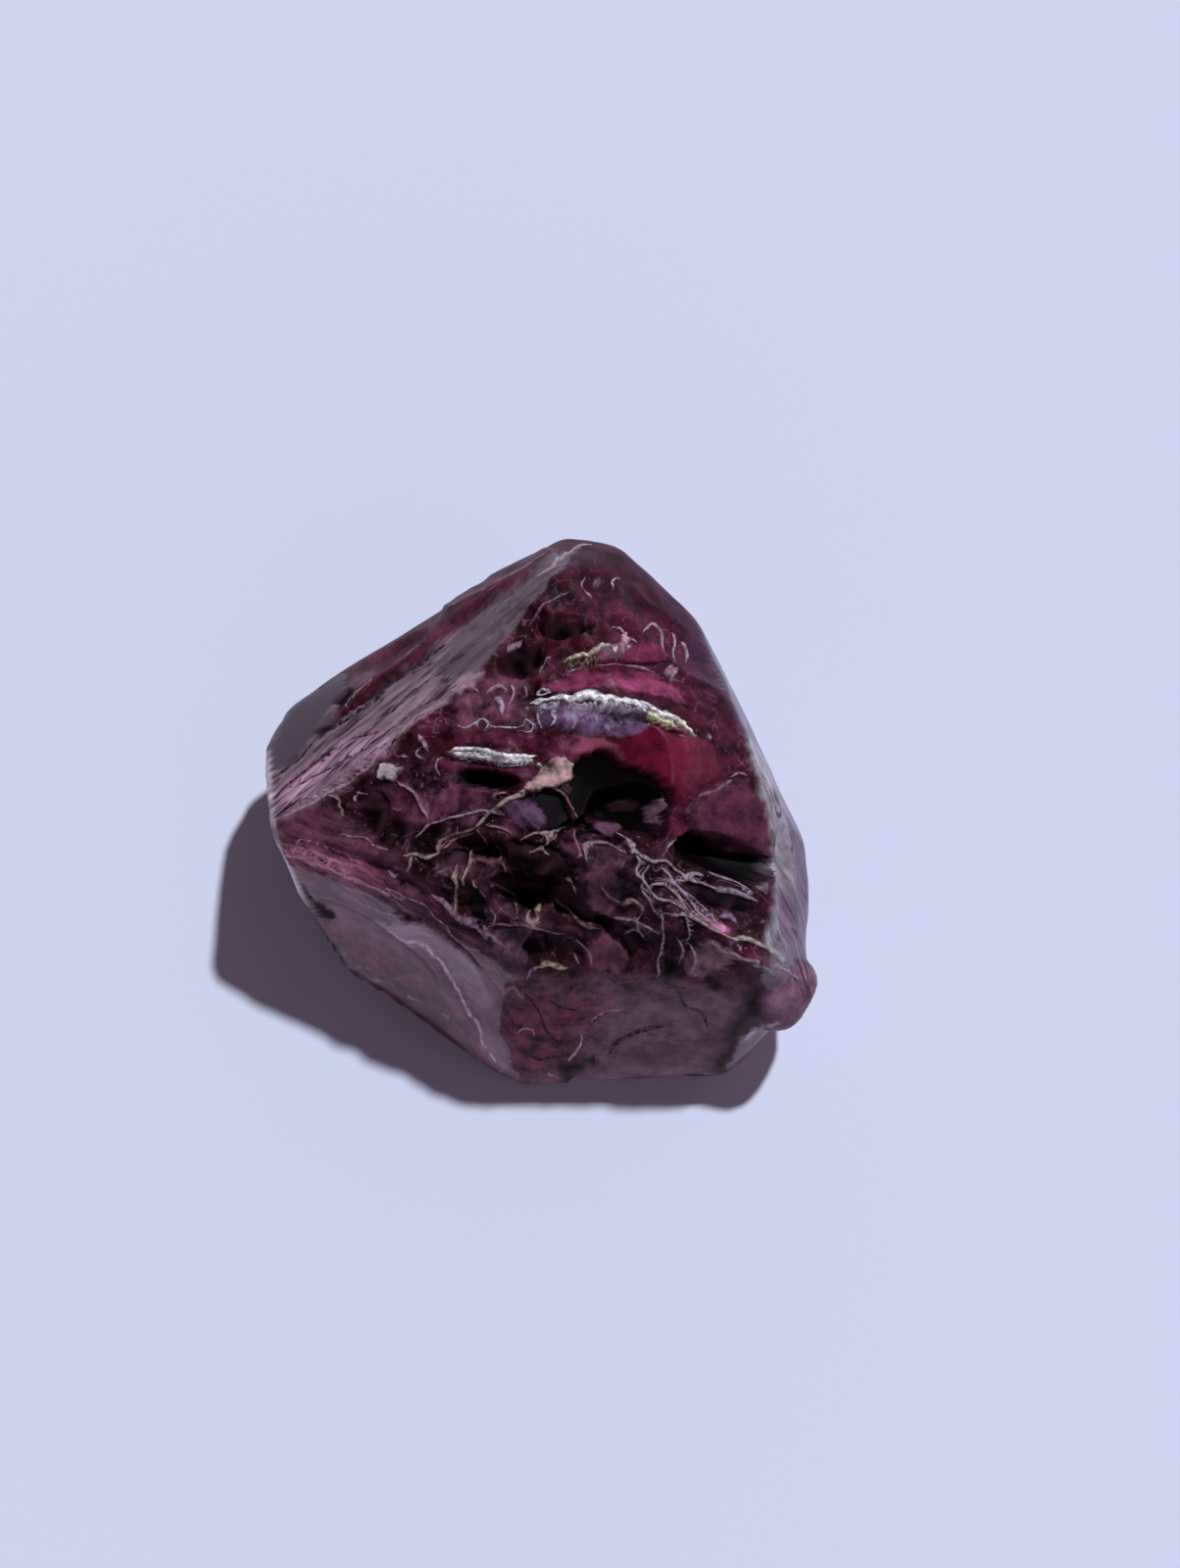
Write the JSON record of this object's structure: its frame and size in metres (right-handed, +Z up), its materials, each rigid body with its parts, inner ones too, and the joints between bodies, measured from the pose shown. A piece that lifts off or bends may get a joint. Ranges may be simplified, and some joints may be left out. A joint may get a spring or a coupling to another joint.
{
  "type": "rough garnet crystal",
  "caption": "Rough natural garnet: a squat broken crystal with flat faces, shell-like hollows, glossy ribs and pits, resting on a flat face.",
  "frame": {"origin": "centre of the bounding box, at the level of the face it rests on", "axes": "+Z up, along the shortest extent; +Y towards the narrow end, +X towards the knob on the low right corner"},
  "size_m": [0.0159, 0.0156, 0.0077],
  "materials": {
    "garnet_crystal": "wine-red clear crystal seen nearly black where it is thick, greasy-glassy broken faces, grey-mauve sheen on the flat faces, tan iron stain along cracks"
  },
  "bodies": {
    "root": {"garnet_crystal": "garnet_crystal"}
  },
  "joints": []
}
